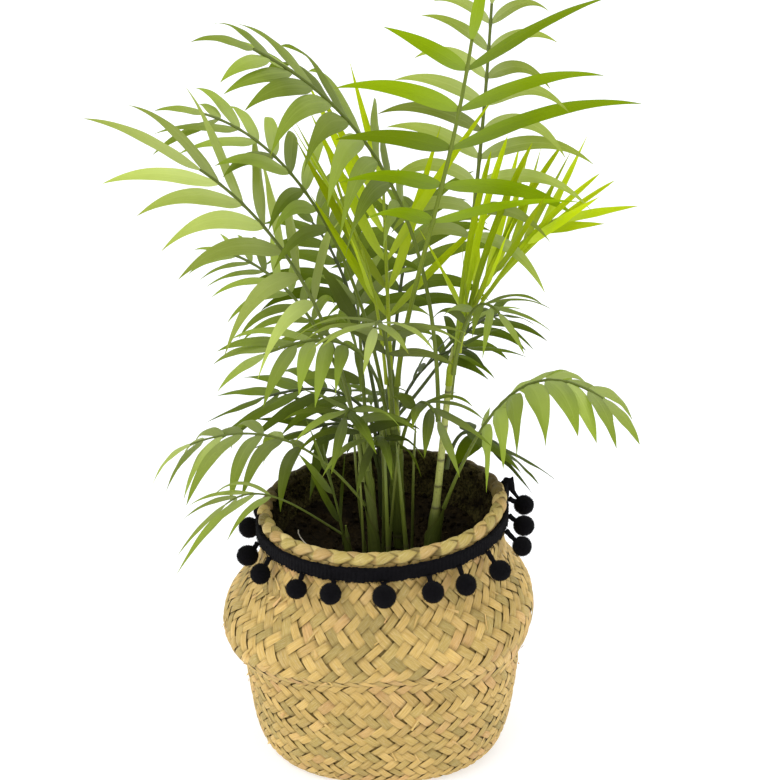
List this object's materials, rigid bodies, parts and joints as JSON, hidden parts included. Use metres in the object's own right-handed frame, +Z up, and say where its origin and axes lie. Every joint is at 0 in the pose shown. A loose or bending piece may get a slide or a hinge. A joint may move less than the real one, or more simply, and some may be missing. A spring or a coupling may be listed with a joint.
{
  "type": "indoor palm in basket",
  "caption": "Parlour palm with feathery fronds in a nursery pot, standing in a woven seagrass belly basket with a black pompom trim.",
  "frame": {"origin": "centre of the basket's flat underside, where it stands on the surface", "axes": "+Z up; +X to the right and +Y away from a viewer who faces the front, which is the pictured side"},
  "size_m": [0.3971, 0.3589, 0.6488],
  "materials": {
    "leaf_pale": "waxy pinnate leaflet, satin, grey-green",
    "leaf_mid": "waxy pinnate leaflet, satin, fresh green",
    "leaf_dark": "waxy pinnate leaflet, satin, deep green",
    "leaf_young": "waxy pinnate leaflet, satin, young yellow-green",
    "stem": "smooth ringed cane and leaf sheaths",
    "soil": "crumbly dark peat",
    "pot_plastic": "matt black nursery pot",
    "seagrass": "flat dried seagrass strands in a diagonal twill weave",
    "seagrass_rim": "plaited pale seagrass",
    "cotton_band": "knitted black cotton tape",
    "cotton_pompom": "trimmed black cotton pile"
  },
  "bodies": {
    "root": {"basket": "seagrass", "braided_rim": "seagrass_rim", "frond_back_left": "leaf_dark", "frond_back_right": "leaf_dark", "frond_far_left": "leaf_pale", "frond_front_left": "leaf_mid", "frond_front_right": "leaf_mid", "frond_inner_back": "leaf_dark", "frond_inner_left": "leaf_dark", "frond_inner_right": "leaf_dark", "frond_low_back": "leaf_dark", "frond_low_front": "leaf_mid", "frond_low_left": "leaf_mid", "frond_low_right": "leaf_mid", "frond_lowest_left": "leaf_mid", "frond_mid_left": "leaf_mid", "frond_middle_front": "leaf_pale", "frond_middle_left": "leaf_mid", "frond_right_arch": "leaf_mid", "frond_seedling": "leaf_mid", "frond_short_left": "leaf_dark", "frond_small_right": "leaf_dark", "frond_thin_left": "leaf_mid", "frond_top_back": "leaf_pale", "frond_top_front": "leaf_mid", "frond_top_left": "leaf_mid", "frond_upper_left": "leaf_mid", "frond_young_left": "leaf_young", "frond_young_middle": "leaf_young", "frond_young_right": "leaf_young", "nursery_pot": "pot_plastic", "pompom_01": "cotton_pompom", "pompom_02": "cotton_pompom", "pompom_03": "cotton_pompom", "pompom_04": "cotton_pompom", "pompom_05": "cotton_pompom", "pompom_06": "cotton_pompom", "pompom_07": "cotton_pompom", "pompom_08": "cotton_pompom", "pompom_09": "cotton_pompom", "pompom_10": "cotton_pompom", "pompom_11": "cotton_pompom", "pompom_12": "cotton_pompom", "pompom_13": "cotton_pompom", "pompom_14": "cotton_pompom", "pompom_15": "cotton_pompom", "pompom_16": "cotton_pompom", "pompom_17": "cotton_pompom", "pompom_18": "cotton_pompom", "pompom_19": "cotton_pompom", "pompom_20": "cotton_pompom", "shoot_middle": "stem", "shoot_right": "stem", "soil": "soil", "stem_back": "stem", "stem_cane": "stem", "stem_left": "stem", "stem_middle": "stem", "stem_seedling": "stem", "trim_band": "cotton_band"}
  },
  "joints": []
}
